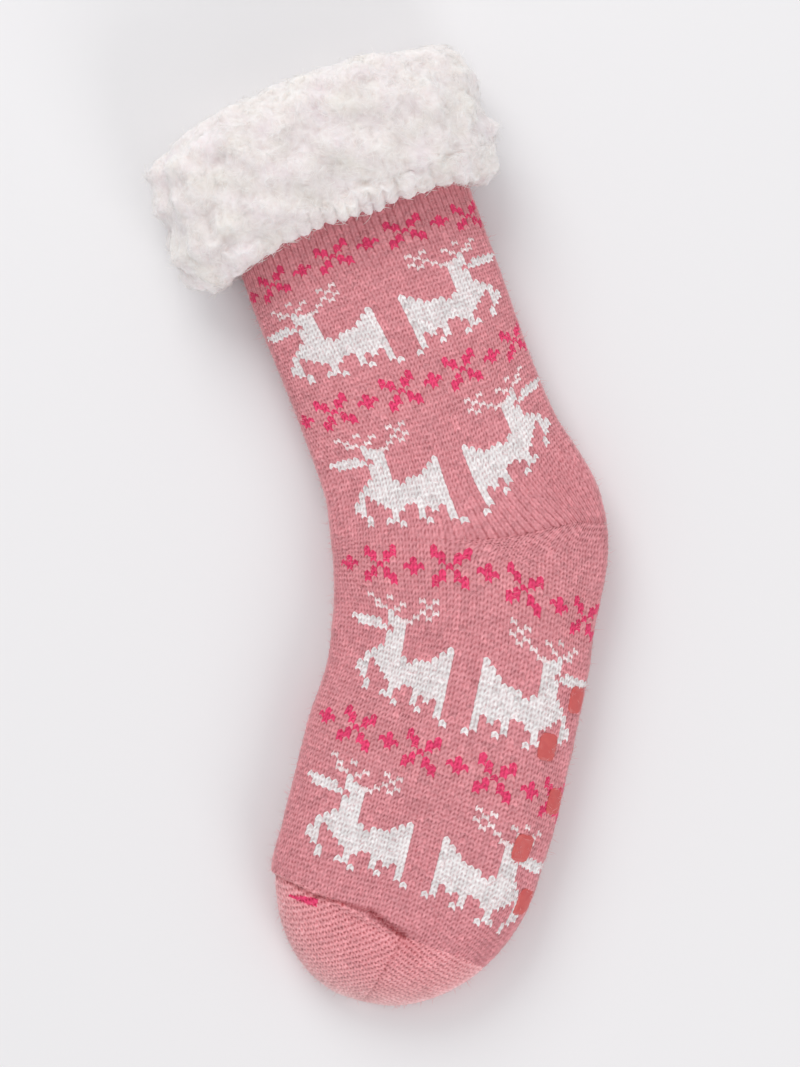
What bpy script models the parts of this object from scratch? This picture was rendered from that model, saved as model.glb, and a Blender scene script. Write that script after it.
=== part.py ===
"""Slipper sock with a turned-down fleece cuff, lying slack on its side. Metres, +Z up.

The sock is knitted whole: leg, heel pocket, foot and toe pocket are one hollow wall, open at the
collar. A fleece cuff is folded over the collar, and rubber grips are printed on the sole.
The sock lies on its side, with the instep towards -X, the sole towards +X and the leg towards +Y.
"""

import math

import bmesh
import bpy
from mathutils import Matrix, Vector, noise

# Driving sizes of the sock, laid flat
FOOT_LENGTH = 0.226
FOOT_WIDTH = 0.115
LEG_LENGTH = 0.222
LEG_WIDTH = 0.104
HEEL_SETBACK = 0.0304
SOCK_THICKNESS = 0.032
KNIT_WALL = 0.002
CLEARANCE = 0.0003

# The leg and the foot lean away from the sock's long axis, and a round ankle joins them
LEG_LEAN = math.radians(20.5)
FOOT_LEAN = math.radians(13.5)
ANKLE_RADIUS = 0.1125

# Shape of a section: a full, flattened oval whose underside is pressed flat on the floor
SECTION_POWER = 2.3
UNDER_SOLE_POWER = 2.0
UNDERSIDE_FULLNESS = 1.12
RING_POINTS = 48
RING_SAMPLES = 480
TURN_LENGTH = 0.012

# The toe is a round cap, swept a little towards the instep
TOE_CAP_START = 0.57
TOE_SWEEP = 0.0050
TOE_SWEEP_POWER = 1.5
TOE_THICKNESS_POWER = 2.6
TOE_RING_TURNS = (25, 42, 56, 67, 76, 83)
TIP_BULGE = 0.15

# The seam across the top of the toes: the instep rolls over it as a small step
SEAM_START = 0.713
SEAM_SLANT = 0.013
SEAM_REACH = 0.25
SEAM_STEP = 0.0020
SEAM_ROLL = 0.020
SEAM_WIDTH = 0.0016
SEAM_BLEND = 0.030

# The fleece cuff: the collar droops at its two folded edges, and the pile is deepest there
CUFF_DEPTH = 0.066
RIM_DROP = 0.0060
COLLAR_DROOP = 0.0075
COLLAR_DROOP_END = 0.130
PILE_ON_FACES = 0.0135
PILE_ON_EDGES = 0.0225
PILE_INSIDE = 0.0045
CUFF_LIFT = 0.011
CUFF_POINTS = 80
TUFT_SIZE = 0.0125
TUFT_HEIGHT = 0.0050
HEM_RAGGEDNESS = 0.0035

# The rubber grips
GRIP_LENGTH = 0.0120
GRIP_WIDTH = 0.0080
GRIP_THICKNESS = 0.0011
GRIP_FIRST_ROW = 0.0125
GRIP_ROW_PITCH = 0.0223
GRIP_COLUMN_PITCH = 0.0095
SOLE_MIDDLE = -0.0035
GRIP_SIDES = 12
GRIP_CORNER_POWER = 4.0

# Rings of the knit: the run, the share of that run, the widths from the centre line to the front
# and to the back as shares of half the run's width, the thickness as a share of the sock's, and
# the height off the floor as a share of the cuff's lift
SECTIONS = (
    ("leg", 0.000, 0.980, 0.980, 0.93, 1.00),
    ("leg", 0.150, 0.990, 0.990, 0.93, 0.95),
    ("leg", 0.300, 1.000, 1.005, 0.90, 0.72),
    ("leg", 0.450, 1.010, 1.010, 0.88, 0.40),
    ("leg", 0.600, 0.995, 1.008, 0.88, 0.12),
    ("leg", 0.760, 0.985, 0.998, 0.90, 0.00),
    ("leg", 0.920, 1.000, 1.018, 0.95, 0.00),
    ("ankle", 0.000, 0.962, 0.977, 0.99, 0.00),
    ("ankle", 0.170, 0.983, 1.045, 1.03, 0.00),
    ("ankle", 0.330, 0.993, 1.068, 1.05, 0.00),
    ("ankle", 0.500, 1.000, 1.050, 1.05, 0.00),
    ("ankle", 0.670, 0.998, 1.000, 1.03, 0.00),
    ("ankle", 0.830, 0.990, 0.965, 1.01, 0.00),
    ("foot", 0.000, 0.976, 0.983, 1.00, 0.00),
    ("foot", 0.140, 0.932, 0.995, 1.00, 0.00),
    ("foot", 0.290, 0.969, 1.003, 1.02, 0.00),
    ("foot", 0.430, 0.974, 1.007, 1.02, 0.00),
    ("foot", 0.570, 0.979, 0.979, 0.99, 0.00),
    ("foot", 1.000, 0.979, 0.979, 0.96, 0.00),
)

# Round the cross-section of the cuff: how far down the cuff, as a share of its depth, the side of
# the knit it lies on, the height as a share of the pile there, and how much of the tufts it shows
CUFF_PROFILE = (
    (0.960, "out", 0.00, 0.0),
    (1.010, "out", 0.25, 0.5),
    (1.030, "out", 0.52, 1.0),
    (1.000, "out", 0.78, 1.0),
    (0.935, "out", 0.92, 1.0),
    (0.860, "out", 0.99, 1.0),
    (0.780, "out", 1.02, 1.0),
    (0.700, "out", 1.04, 1.0),
    (0.620, "out", 1.05, 1.0),
    (0.540, "out", 1.05, 1.0),
    (0.460, "out", 1.04, 1.0),
    (0.380, "out", 1.03, 1.0),
    (0.300, "out", 1.00, 1.0),
    (0.225, "out", 0.96, 1.0),
    (0.155, "out", 0.88, 1.0),
    (0.095, "out", 0.75, 1.0),
    (0.045, "out", 0.57, 1.0),
    (0.012, "out", 0.32, 0.8),
    (0.000, "in", 0.05, 0.6),
    (0.030, "in", 0.65, 0.5),
    (0.100, "in", 0.98, 0.3),
    (0.190, "in", 1.00, 0.3),
    (0.280, "in", 0.85, 0.2),
    (0.320, "in", 0.40, 0.0),
    (0.310, "in", 0.00, 0.0),
    ("rim", "in", 0.00, 0.0),
    ("rim", "out", 0.00, 0.0),
    (0.240, "out", 0.00, 0.0),
    (0.480, "out", 0.00, 0.0),
    (0.720, "out", 0.00, 0.0),
)
KNIT_RINGS_UNDER_CUFF = (0.240, 0.480, 0.720, 0.960)

# Rows of grips from heel to forefoot, and the columns each row fills across the sole
GRIP_ROWS = (
    (-1, 1),
    (-2, 0, 2),
    (-1, 1),
    (-2, 0, 2),
    (-1, 1),
)

# Finishes: colour, roughness, metallic
KNIT_FINISH = ("rose_knit", (0.62, 0.27, 0.30), 0.90, 0.0)
FLEECE_FINISH = ("white_fleece", (0.88, 0.85, 0.82), 0.95, 0.0)
GRIP_FINISH = ("coral_rubber", (0.66, 0.16, 0.15), 0.40, 0.0)

# The centre line: a straight leg, a round ankle and a straight foot
BEND = LEG_LEAN + FOOT_LEAN
ANKLE_TANGENT = ANKLE_RADIUS * math.tan(BEND / 2)
RUN_LENGTH = {
    "leg": LEG_LENGTH - ANKLE_TANGENT,
    "ankle": ANKLE_RADIUS * BEND,
    "foot": FOOT_LENGTH - HEEL_SETBACK - ANKLE_TANGENT,
}
RUN_START = {
    "leg": 0.0,
    "ankle": RUN_LENGTH["leg"],
    "foot": RUN_LENGTH["leg"] + RUN_LENGTH["ankle"],
}
RUN_WIDTH = {"leg": LEG_WIDTH, "ankle": FOOT_WIDTH, "foot": FOOT_WIDTH}
SOCK_RUN = RUN_START["foot"] + RUN_LENGTH["foot"]
TOE_RUN_START = RUN_START["foot"] + TOE_CAP_START * RUN_LENGTH["foot"]
SEAM_RUN = RUN_START["foot"] + SEAM_START * RUN_LENGTH["foot"]


def station(run, share):
    """Distance down the centre line, from the top of the cuff."""
    return RUN_START[run] + share * RUN_LENGTH[run]


def centre_line(s):
    """The centre line's point at distance s, and its direction, both in plan."""
    foot_way = Vector((-math.sin(FOOT_LEAN), -math.cos(FOOT_LEAN)))
    leg_way = Vector((math.sin(LEG_LEAN), -math.cos(LEG_LEAN)))
    if s <= RUN_START["ankle"]:
        return leg_way * (s - LEG_LENGTH), leg_way
    if s >= RUN_START["foot"]:
        return foot_way * (ANKLE_TANGENT + s - RUN_START["foot"]), foot_way
    turned = (s - RUN_START["ankle"]) / ANKLE_RADIUS
    lean = LEG_LEAN - turned
    to_front = Vector((-math.cos(LEG_LEAN), -math.sin(LEG_LEAN)))
    hub = leg_way * -ANKLE_TANGENT + to_front * ANKLE_RADIUS
    way = Vector((math.sin(lean), -math.cos(lean)))
    return hub + ANKLE_RADIUS * Vector((-way.y, way.x)), way


def section_table():
    """The sections in metres: station, front, back, thickness, lift."""
    rows = []
    for run, share, front, back, thick, lift in SECTIONS:
        half = RUN_WIDTH[run] / 2
        sizes = (front * half, back * half, thick * SOCK_THICKNESS, lift * CUFF_LIFT)
        rows.append((station(run, share), *sizes))
    return rows


TABLE = section_table()


def smooth_between(rows, column, s):
    """A column of the table at s, on a curve that runs smoothly through its rows."""
    last = len(rows) - 1
    if s <= rows[0][0]:
        return rows[0][column]
    if s >= rows[last][0]:
        return rows[last][column]
    at = max(i for i in range(last) if rows[i][0] <= s)
    span = rows[at + 1][0] - rows[at][0]

    def slope(i):
        before, after = max(i - 1, 0), min(i + 1, last)
        return (rows[after][column] - rows[before][column]) / (rows[after][0] - rows[before][0])

    t = (s - rows[at][0]) / span
    start, end = rows[at][column], rows[at + 1][column]
    return (
        start * (1 + 2 * t) * (1 - t) ** 2
        + end * t * t * (3 - 2 * t)
        + span * t * (1 - t) * (slope(at) * (1 - t) - slope(at + 1) * t)
    )


def smooth_step(t):
    t = min(max(t, 0.0), 1.0)
    return t * t * (3 - 2 * t)


def section_sizes(s):
    """Front and back widths, thickness, lift off the floor, and the toe's sweep at distance s."""
    front, back, thick, lift = (smooth_between(TABLE, column, s) for column in range(1, 5))
    into_toe = min(max((s - TOE_RUN_START) / (SOCK_RUN - TOE_RUN_START), 0.0), 1.0)
    narrowing = math.sqrt(1 - into_toe**2)
    thinning = (1 - into_toe**TOE_THICKNESS_POWER) ** (1 / TOE_THICKNESS_POWER)
    sweep = TOE_SWEEP * into_toe**TOE_SWEEP_POWER
    return front * narrowing, back * narrowing, thick * thinning, max(lift, 0.0), sweep


def signed_power(value, power):
    return math.copysign(abs(value) ** power, value)


def section_ring(s, inset=0.0, count=RING_POINTS):
    """Points (across, up) round the section at s, from the back edge over the top.

    Across is positive towards the back. Inset draws the section smaller, for the inside of the wall.
    """
    front, back, thick, lift, sweep = section_sizes(s)
    middle = lift + thick / 2
    top = max(thick / 2 - inset, CLEARANCE)
    bottom = max(UNDERSIDE_FULLNESS * thick / 2 - inset, CLEARANCE)
    dense = []
    for k in range(RING_SAMPLES + 1):
        turn = 2 * math.pi * k / RING_SAMPLES
        under_sole = math.cos(turn) > 0 > math.sin(turn)
        power = UNDER_SOLE_POWER if under_sole else SECTION_POWER
        across = signed_power(math.cos(turn), 2 / power)
        up = signed_power(math.sin(turn), 2 / power)
        across *= max((back if across > 0 else front) - inset, CLEARANCE)
        up *= top if up > 0 else bottom
        dense.append((across - sweep, max(middle + up, lift + inset)))
    return evenly_spaced(dense, count)


def evenly_spaced(dense, count):
    """Count points round a closed run of points, closer together where the run turns sharply."""
    reach = [0.0]
    for k in range(1, len(dense)):
        (x0, y0), (x1, y1) = dense[k - 1], dense[k]
        x2, y2 = dense[k + 1] if k + 1 < len(dense) else dense[1]
        way_in, way_out = Vector((x1 - x0, y1 - y0)), Vector((x2 - x1, y2 - y1))
        turned = abs(way_in.angle_signed(way_out, 0.0))
        reach.append(reach[-1] + way_in.length + turned * TURN_LENGTH)
    points, at = [], 0
    for k in range(count):
        goal = reach[-1] * k / count
        while reach[at + 1] < goal:
            at += 1
        part = (goal - reach[at]) / (reach[at + 1] - reach[at])
        (x0, y0), (x1, y1) = dense[at], dense[at + 1]
        points.append((x0 + part * (x1 - x0), y0 + part * (y1 - y0)))
    return points


def place(s, across, up):
    """A point of the section at s, in the sock's own frame."""
    centre, way = centre_line(s)
    to_back = Vector((-way.y, way.x))
    flat = centre + to_back * across
    return Vector((flat.x, flat.y, up))


def ring_turn(point_index, count=RING_POINTS):
    """How far round its ring a point is: 0 at the back edge, a half turn at the front edge."""
    return 2 * math.pi * point_index / count


def ring_shift(s, turn):
    """How far a ring dips down the sock here, at the collar's drooping edges and the toe seam."""
    droop = abs(math.cos(turn)) ** 3 * smooth_step((COLLAR_DROOP_END - s) / (COLLAR_DROOP_END / 2))
    away = (SEAM_RUN - s) / SEAM_BLEND if s < SEAM_RUN else (s - SEAM_RUN) / (SOCK_RUN - SEAM_RUN)
    slant = (1 - abs(math.cos(turn))) * smooth_step(1 - away)
    return COLLAR_DROOP * droop + SEAM_SLANT * slant


def seam_roll(s, turn):
    """Height of the roll of knit that the toe seam holds down: just before it, on the instep."""
    if s > SEAM_RUN:
        return 0.0
    on_instep = smooth_step((SEAM_REACH - math.cos(turn)) / (2 * SEAM_REACH))
    return SEAM_STEP * on_instep * smooth_step(1 - (SEAM_RUN - s) / SEAM_ROLL)


def on_ring(s, flat, i, offset):
    """The i-th point of a ring at s, moved off the section's curve by an offset."""
    before, after = flat[i - 1], flat[(i + 1) % len(flat)]
    outward = Vector((after[1] - before[1], before[0] - after[0])).normalized()
    across, up = flat[i]
    dipped = s + ring_shift(s, ring_turn(i, len(flat)))
    return place(dipped, across + outward.x * offset, up + outward.y * offset)


def knit_ring(s, inset=0.0):
    """Points of the knit's outer face at s, or of its inner face when inset."""
    flat = section_ring(s, inset)
    floor = section_sizes(s)[3] + inset
    points = []
    for i in range(RING_POINTS):
        point = on_ring(s, flat, i, seam_roll(s, ring_turn(i)))
        point.z = max(point.z, floor)
        points.append(point)
    return points


def knit_stations():
    """Where the knit's rings lie, from the rim down: closer at the heel, the seam and the toe."""
    cuff_end = CUFF_DEPTH * KNIT_RINGS_UNDER_CUFF[-1]
    seam_zone = SEAM_RUN - SEAM_ROLL
    stations = [RIM_DROP]
    stations += [CUFF_DEPTH * down for down in KNIT_RINGS_UNDER_CUFF]
    stations += spread(cuff_end, RUN_START["ankle"], 7)
    stations += spread(RUN_START["ankle"], RUN_START["foot"], 6)
    stations += spread(RUN_START["foot"], seam_zone, 8)
    stations += [SEAM_RUN - SEAM_ROLL / 2, SEAM_RUN - SEAM_WIDTH / 2, SEAM_RUN + SEAM_WIDTH / 2]
    for turn in TOE_RING_TURNS:
        stations.append(SEAM_RUN + (SOCK_RUN - SEAM_RUN) * math.sin(math.radians(turn)))
    return stations


def spread(start, end, count):
    """Count even steps from a start, which is left out, to an end."""
    return [start + (end - start) * k / count for k in range(1, count + 1)]


def finish_of(name, colour, roughness, metallic):
    material = bpy.data.materials.new(name)
    material.use_nodes = True
    shader = material.node_tree.nodes["Principled BSDF"]
    shader.inputs["Base Color"].default_value = (*colour, 1.0)
    shader.inputs["Roughness"].default_value = roughness
    shader.inputs["Metallic"].default_value = metallic
    material.diffuse_color = (*colour, 1.0)
    return material


def solid_from(bm, name, material):
    """Closes the bmesh into a named object with its faces pointing out."""
    bmesh.ops.recalc_face_normals(bm, faces=bm.faces)
    mesh = bpy.data.meshes.new(name)
    bm.to_mesh(mesh)
    bm.free()
    mesh.shade_smooth()
    mesh.materials.append(material)
    solid = bpy.data.objects.new(name, mesh)
    bpy.context.scene.collection.objects.link(solid)
    return solid


def bridge(bm, first, second):
    """Faces between two rings of as many points."""
    count = len(first)
    for i in range(count):
        j = (i + 1) % count
        bm.faces.new((first[i], first[j], second[j], second[i]))


def cap(bm, ring, tip):
    """A fan of faces from a ring to its tip."""
    for i, point in enumerate(ring):
        bm.faces.new((point, ring[(i + 1) % len(ring)], tip))


def tip_of(rings):
    """A point just past the last ring, in the middle of it."""
    last = sum((v.co for v in rings[-1]), Vector()) / len(rings[-1])
    before = sum((v.co for v in rings[-2]), Vector()) / len(rings[-2])
    return last.lerp(before, -TIP_BULGE)


def knit_wall(name, material):
    """The knitted sock: an outer and an inner skin, joined round the collar's rim."""
    bm = bmesh.new()
    stations = knit_stations()
    under_cuff = len(KNIT_RINGS_UNDER_CUFF) + 1
    inner_stations = stations[:under_cuff] + stations[under_cuff + 1 : -1 : 2]
    outer = [[bm.verts.new(p) for p in knit_ring(s)] for s in stations]
    inner = [[bm.verts.new(p) for p in knit_ring(s, KNIT_WALL)] for s in inner_stations]
    for skin in (outer, inner):
        for first, second in zip(skin, skin[1:]):
            bridge(bm, first, second)
        cap(bm, skin[-1], bm.verts.new(tip_of(skin)))
    bridge(bm, outer[0], inner[0])
    return solid_from(bm, name, material)


def pile_height(turn, side):
    """Thickness of the fleece at a turn round the collar: deepest on the two folded edges."""
    if side == "in":
        return PILE_INSIDE
    return PILE_ON_FACES + (PILE_ON_EDGES - PILE_ON_FACES) * abs(math.cos(turn)) ** 1.5


def tuft_mound(point):
    """From -1 between the tufts of pile to 1 on top of them."""
    from_middle = noise.voronoi(point / TUFT_SIZE)[0][0]
    return 1 - 2 * min(from_middle, 1.0)


def cuff_ring(down, side, height, tufts):
    """A ring of the cuff's surface, for one row of its profile."""
    s = RIM_DROP - CLEARANCE if down == "rim" else down * CUFF_DEPTH
    flat = section_ring(s, 0.0 if side == "out" else KNIT_WALL, CUFF_POINTS)
    sense = 1 if side == "out" else -1
    points = []
    for i in range(CUFF_POINTS):
        pile = pile_height(ring_turn(i, CUFF_POINTS), side)
        smooth = on_ring(s, flat, i, sense * (CLEARANCE + height * pile))
        mound = tufts * TUFT_HEIGHT * tuft_mound(smooth) * min(pile / PILE_ON_FACES, 1.0)
        ragged = tufts * HEM_RAGGEDNESS * noise.noise(smooth / TUFT_SIZE) * smooth_step(2 * height)
        point = on_ring(s + ragged, flat, i, sense * (CLEARANCE + height * pile + mound))
        point.z = max(point.z, 0.0)
        points.append(point)
    return points


def fleece_cuff(name, material):
    """The cuff: a band of deep pile folded over the knit's rim, with its tufts fused on."""
    bm = bmesh.new()
    rings = [[bm.verts.new(p) for p in cuff_ring(*row)] for row in CUFF_PROFILE]
    for first, second in zip(rings, rings[1:] + rings[:1]):
        bridge(bm, first, second)
    return solid_from(bm, name, material)


def sole_point(rings, s, round_edge, stand):
    """A point standing off the knit's face, at an arc distance from the sole edge over the top.

    Rings are the knit's own stations and points, so that a grip lies true on its flat facets.
    """
    at = max(k for k in range(len(rings) - 1) if rings[k][0] <= s)
    (above, upper), (below, lower) = rings[at], rings[at + 1]
    ring = [p.lerp(q, (s - above) / (below - above)) for p, q in zip(upper, lower)]
    sense = 1 if round_edge > 0 else -1
    left, k = abs(round_edge), 0
    while left > (ring[k + sense] - ring[k]).length:
        left -= (ring[k + sense] - ring[k]).length
        k += sense
    point = ring[k].lerp(ring[k + sense], left / (ring[k + sense] - ring[k]).length)
    along = centre_line(s)[1].to_3d()
    around = (ring[k + 2 * sense] - ring[k - sense]) * sense
    point += around.cross(along).normalized() * stand
    point.z = max(point.z, 0.0)
    return point


def grip_pad(name, rings, s, round_edge, material):
    """One printed grip: a soft-cornered rubber pad that follows the curve of the sole."""
    bm = bmesh.new()
    levels = (
        (0.50, CLEARANCE),
        (1.00, CLEARANCE),
        (1.00, CLEARANCE + 0.55 * GRIP_THICKNESS),
        (0.80, CLEARANCE + GRIP_THICKNESS),
        (0.45, CLEARANCE + GRIP_THICKNESS),
    )
    loops = []
    for size, stand in levels:
        loop = []
        for k in range(GRIP_SIDES):
            turn = 2 * math.pi * (k + 0.5) / GRIP_SIDES
            across = size * GRIP_WIDTH / 2 * signed_power(math.cos(turn), 2 / GRIP_CORNER_POWER)
            along = size * GRIP_LENGTH / 2 * signed_power(math.sin(turn), 2 / GRIP_CORNER_POWER)
            loop.append(bm.verts.new(sole_point(rings, s + along, round_edge + across, stand)))
        loops.append(loop)
    for first, second in zip(loops, loops[1:]):
        bridge(bm, first, second)
    for loop, stand in ((loops[0], levels[0][1]), (loops[-1], levels[-1][1])):
        cap(bm, loop, bm.verts.new(sole_point(rings, s, round_edge, stand)))
    return solid_from(bm, name, material)


def sole_grips(material):
    """All the grips, row by row down the sole."""
    rings = [(s, knit_ring(s)) for s in knit_stations()]
    grips = []
    for row, columns in enumerate(GRIP_ROWS):
        s = RUN_START["foot"] + GRIP_FIRST_ROW + row * GRIP_ROW_PITCH
        for column in columns:
            round_edge = SOLE_MIDDLE + column * GRIP_COLUMN_PITCH
            grips.append(grip_pad(f"grip_{len(grips) + 1:02d}", rings, s, round_edge, material))
    return grips


def set_origin(solids):
    """Moves the whole sock so that the middle of its box lies over the origin, on the floor."""
    corners = [v.co for solid in solids for v in solid.data.vertices]
    low = [min(c[axis] for c in corners) for axis in range(3)]
    high = [max(c[axis] for c in corners) for axis in range(3)]
    shift = Matrix.Translation((-(low[0] + high[0]) / 2, -(low[1] + high[1]) / 2, -low[2]))
    for solid in solids:
        solid.data.transform(shift)


def main():
    for obj in list(bpy.data.objects):
        bpy.data.objects.remove(obj)
    knit = knit_wall("knit_sock", finish_of(*KNIT_FINISH))
    cuff = fleece_cuff("fleece_cuff", finish_of(*FLEECE_FINISH))
    grips = sole_grips(finish_of(*GRIP_FINISH))
    set_origin([knit, cuff, *grips])


main()
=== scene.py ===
# %% [markdown]
# # A slipper sock, dressed over its CAD frame
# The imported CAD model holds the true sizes: a knitted sock, a deep fleece cuff and printed rubber
# grips. This lesson dresses that frame. Every stitch of the knit becomes real geometry, the cuff
# gets its lumps and curls, and each material gets its own nodes.

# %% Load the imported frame
import math

import bpy
import numpy as np
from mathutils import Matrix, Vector, noise


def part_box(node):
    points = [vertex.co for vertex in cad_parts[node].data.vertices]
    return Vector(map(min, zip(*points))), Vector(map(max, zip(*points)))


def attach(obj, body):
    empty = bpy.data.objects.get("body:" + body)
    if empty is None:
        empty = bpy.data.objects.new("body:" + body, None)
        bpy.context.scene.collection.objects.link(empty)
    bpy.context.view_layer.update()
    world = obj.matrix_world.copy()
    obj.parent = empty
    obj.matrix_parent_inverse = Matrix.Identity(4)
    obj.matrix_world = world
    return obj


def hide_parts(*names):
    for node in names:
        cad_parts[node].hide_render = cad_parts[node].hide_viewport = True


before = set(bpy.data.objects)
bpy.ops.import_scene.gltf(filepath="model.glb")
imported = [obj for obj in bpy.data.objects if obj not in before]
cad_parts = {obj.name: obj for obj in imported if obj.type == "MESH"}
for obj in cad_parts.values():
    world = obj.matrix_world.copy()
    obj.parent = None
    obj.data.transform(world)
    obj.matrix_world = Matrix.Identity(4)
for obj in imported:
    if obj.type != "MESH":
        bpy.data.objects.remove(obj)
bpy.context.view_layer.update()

bpy.ops.object.select_all(action="DESELECT")

# %% [markdown]
# The photograph looks straight down at the sock. The camera could be set by eye, but the height of
# the picture was measured on the sock. So a long lens is put far above, which keeps the edges from
# leaning, and its focal length is worked out from that height. It is made first, because all else
# is judged through it.

# %% Camera
FRAME_HEIGHT = 0.459  # what the picture shows from top to bottom, in metres
FRAME_LEVEL = 0.016  # and how high over the floor that was measured
CAMERA_HEIGHT = 3.0
CAMERA_PLACE = (0.0105, -0.0033)
SENSOR = 36.0

bpy.ops.object.camera_add(location=(*CAMERA_PLACE, CAMERA_HEIGHT), rotation=(0, 0, 0))
camera = bpy.context.object
camera.name = "camera"
camera.data.sensor_fit = "VERTICAL"
camera.data.sensor_height = SENSOR
camera.data.lens = SENSOR * (CAMERA_HEIGHT - FRAME_LEVEL) / FRAME_HEIGHT
camera.data.clip_end = 20.0
bpy.context.scene.camera = camera
print(f"camera lens {camera.data.lens:.1f} mm")

# %% [markdown]
# The real sock is a soft tube that lies flat: a straight leg, a round ankle and a straight foot. Its
# skin could be copied from the CAD mesh, but the stitches have to run true along it, and loose
# triangles don't say which way that is. So the sizes are repeated from the CAD source: one centre
# line, and a full flattened oval as the section at each station along it.

# %% Sizes of the sock
MM = 0.001
PX = 0.00043  # one pixel of the photograph on the sock, in metres
FOOT_LENGTH, FOOT_WIDTH, LEG_LENGTH, LEG_WIDTH = 0.226, 0.115, 0.222, 0.104
HEEL_SETBACK, SOCK_THICKNESS = 0.0304, 0.032
LEG_LEAN, FOOT_LEAN = math.radians(20.5), math.radians(13.5)
ANKLE_RADIUS = 0.1125
SECTION_POWER, UNDER_SOLE_POWER, UNDERSIDE_FULLNESS = 2.3, 2.0, 1.12
TURN_LENGTH = 0.012  # a turn by one radian counts as this much length round a section
TOE_CAP_START, TOE_SWEEP, TOE_SWEEP_POWER, TOE_THICKNESS_POWER = 0.57, 0.005, 1.5, 2.6
SEAM_START, SEAM_SLANT, SEAM_REACH, SEAM_STEP, SEAM_ROLL = 0.713, 0.013, 0.25, 0.002, 0.020
SEAM_BLEND = 0.030
CUFF_LIFT, COLLAR_DROOP, COLLAR_DROOP_END = 0.011, 0.0075, 0.130
SECTIONS = (  # run, share of it, then front, back, thickness and lift as factors
    ("leg", 0.000, 0.980, 0.980, 0.93, 1.00),
    ("leg", 0.150, 0.990, 0.990, 0.93, 0.95),
    ("leg", 0.300, 1.000, 1.005, 0.90, 0.72),
    ("leg", 0.450, 1.010, 1.010, 0.88, 0.40),
    ("leg", 0.600, 0.995, 1.008, 0.88, 0.12),
    ("leg", 0.760, 0.985, 0.998, 0.90, 0.00),
    ("leg", 0.920, 1.000, 1.018, 0.95, 0.00),
    ("ankle", 0.000, 0.962, 0.977, 0.99, 0.00),
    ("ankle", 0.170, 0.983, 1.045, 1.03, 0.00),
    ("ankle", 0.330, 0.993, 1.068, 1.05, 0.00),
    ("ankle", 0.500, 1.000, 1.050, 1.05, 0.00),
    ("ankle", 0.670, 0.998, 1.000, 1.03, 0.00),
    ("ankle", 0.830, 0.990, 0.965, 1.01, 0.00),
    ("foot", 0.000, 0.976, 0.983, 1.00, 0.00),
    ("foot", 0.140, 0.932, 0.995, 1.00, 0.00),
    ("foot", 0.290, 0.969, 1.003, 1.02, 0.00),
    ("foot", 0.430, 0.974, 1.007, 1.02, 0.00),
    ("foot", 0.570, 0.979, 0.979, 0.99, 0.00),
    ("foot", 1.000, 0.979, 0.979, 0.96, 0.00),
)
ANKLE_TANGENT = ANKLE_RADIUS * math.tan((LEG_LEAN + FOOT_LEAN) / 2)
RUN_LENGTH = {
    "leg": LEG_LENGTH - ANKLE_TANGENT,
    "ankle": ANKLE_RADIUS * (LEG_LEAN + FOOT_LEAN),
    "foot": FOOT_LENGTH - HEEL_SETBACK - ANKLE_TANGENT,
}
RUN_START = {"leg": 0.0, "ankle": RUN_LENGTH["leg"]}
RUN_START["foot"] = RUN_START["ankle"] + RUN_LENGTH["ankle"]
SOCK_RUN = RUN_START["foot"] + RUN_LENGTH["foot"]
TOE_RUN_START = RUN_START["foot"] + TOE_CAP_START * RUN_LENGTH["foot"]
SEAM_RUN = RUN_START["foot"] + SEAM_START * RUN_LENGTH["foot"]
print(f"centre line {SOCK_RUN / MM:.1f} mm, toe seam at {SEAM_RUN / MM:.1f} mm")


# %% Curve helpers
def smooth_step(t):
    """0 below 0, 1 above 1 and a soft rise between them."""
    t = np.clip(t, 0.0, 1.0)
    return t * t * (3 - 2 * t)


def unit(vectors, least=1e-12):
    """Vectors made 1 long. One that is next to nothing stays short."""
    return vectors / np.maximum(np.linalg.norm(vectors, axis=-1, keepdims=True), least)


def smooth_curve(keys, values, at):
    """A smooth curve through values at rising keys. Values may hold one column per wale."""
    keys, values = np.asarray(keys, float), np.asarray(values, float)
    slopes = np.empty_like(values)
    for i in range(len(keys)):
        before, after = max(i - 1, 0), min(i + 1, len(keys) - 1)
        slopes[i] = (values[after] - values[before]) / (keys[after] - keys[before])
    at = np.clip(np.asarray(at, float), keys[0], keys[-1])
    i = np.clip(np.searchsorted(keys, at, side="right") - 1, 0, len(keys) - 2)
    span = keys[i + 1] - keys[i]
    t = (at - keys[i]) / span
    if values.ndim > 1:
        t, span = t[:, None], span[:, None]
    rise = values[i] * (1 + 2 * t) * (1 - t) ** 2 + values[i + 1] * t * t * (3 - 2 * t)
    return rise + span * t * (1 - t) * (slopes[i] * (1 - t) - slopes[i + 1] * t)


# %% Centre line and sections
def centre_line(s):
    """Points of the centre line at stations s and its directions, as two arrays in plan."""
    leg_way = np.array((math.sin(LEG_LEAN), -math.cos(LEG_LEAN)))
    foot_way = np.array((-math.sin(FOOT_LEAN), -math.cos(FOOT_LEAN)))
    hub = -ANKLE_TANGENT * leg_way - ANKLE_RADIUS * np.array((-leg_way[1], leg_way[0]))
    lean = LEG_LEAN - np.clip((s - RUN_START["ankle"]) / ANKLE_RADIUS, 0, LEG_LEAN + FOOT_LEAN)
    way = np.stack((np.sin(lean), -np.cos(lean)), -1)
    to_back = np.stack((-way[..., 1], way[..., 0]), -1)
    past_leg = np.minimum(s - RUN_START["ankle"], 0)[..., None] * leg_way
    past_foot = np.maximum(s - RUN_START["foot"], 0)[..., None] * foot_way
    return hub + ANKLE_RADIUS * to_back + past_leg + past_foot, way


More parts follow.
